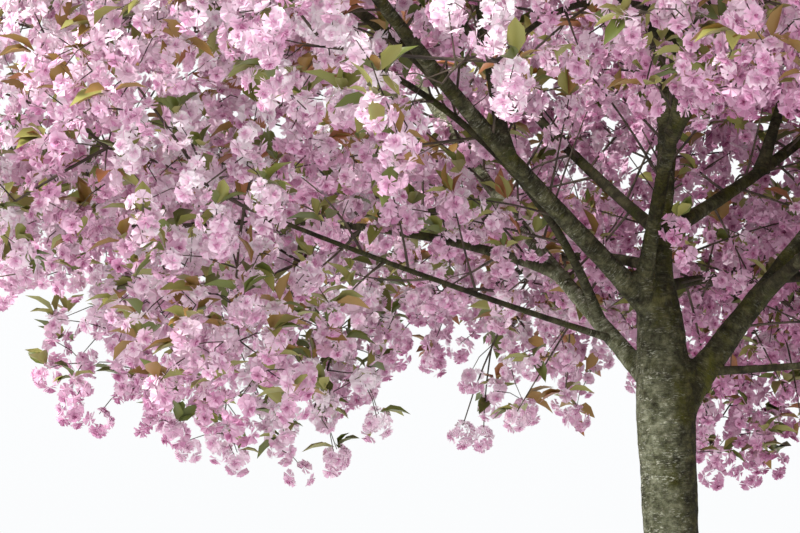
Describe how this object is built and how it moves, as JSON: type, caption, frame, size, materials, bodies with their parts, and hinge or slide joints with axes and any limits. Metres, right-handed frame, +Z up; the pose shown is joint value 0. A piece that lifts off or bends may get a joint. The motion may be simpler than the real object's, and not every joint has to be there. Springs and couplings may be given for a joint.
{
  "type": "cherry blossom tree",
  "caption": "Double-flowered pink cherry tree in full bloom, single trunk forking into spreading boughs, rooted in level ground.",
  "frame": {"origin": "middle of the flat cut under the trunk, at ground level", "axes": "+Z is up, -Y is the front of the tree as it is seen from the path, +X is to the right in that view"},
  "size_m": [5.8508, 5.8066, 6.1723],
  "materials": {
    "bark": "rough",
    "blossom": "matte"
  },
  "bodies": {
    "root": {"trunk": "bark", "bough_left_back": "bark", "bough_left": "bark", "bough_left_skirt": "bark", "bough_left_low": "bark", "bough_back_left_low": "bark", "bough_left_main": "bark", "bough_left_high": "bark", "bough_left_top": "bark", "bough_front": "bark", "bough_front_left": "bark", "bough_front_hanging": "bark", "bough_front_low": "bark", "bough_front_right": "bark", "bough_leader": "bark", "bough_right_top": "bark", "bough_left_inner": "bark", "bough_right_back": "bark", "bough_right_back_top": "bark", "bough_back_top": "bark", "bough_right": "bark", "bough_right_front": "bark", "bough_right_low": "bark", "bough_right_skirt": "bark", "bough_back": "bark", "bough_back_left_skirt": "bark", "bough_back_right_skirt": "bark", "bough_right_back_low": "bark", "blossom_left_back": "blossom", "blossom_left": "blossom", "blossom_left_skirt": "blossom", "blossom_left_low": "blossom", "blossom_back_left_low": "blossom", "blossom_left_main": "blossom", "blossom_left_high": "blossom", "blossom_left_top": "blossom", "blossom_front": "blossom", "blossom_front_left": "blossom", "blossom_front_hanging": "blossom", "blossom_front_low": "blossom", "blossom_front_right": "blossom", "blossom_leader": "blossom", "blossom_right_top": "blossom", "blossom_left_inner": "blossom", "blossom_right_back": "blossom", "blossom_right_back_top": "blossom", "blossom_back_top": "blossom", "blossom_right": "blossom", "blossom_right_front": "blossom", "blossom_right_low": "blossom", "blossom_right_skirt": "blossom", "blossom_back": "blossom", "blossom_back_left_skirt": "blossom", "blossom_back_right_skirt": "blossom", "blossom_right_back_low": "blossom"}
  },
  "joints": []
}
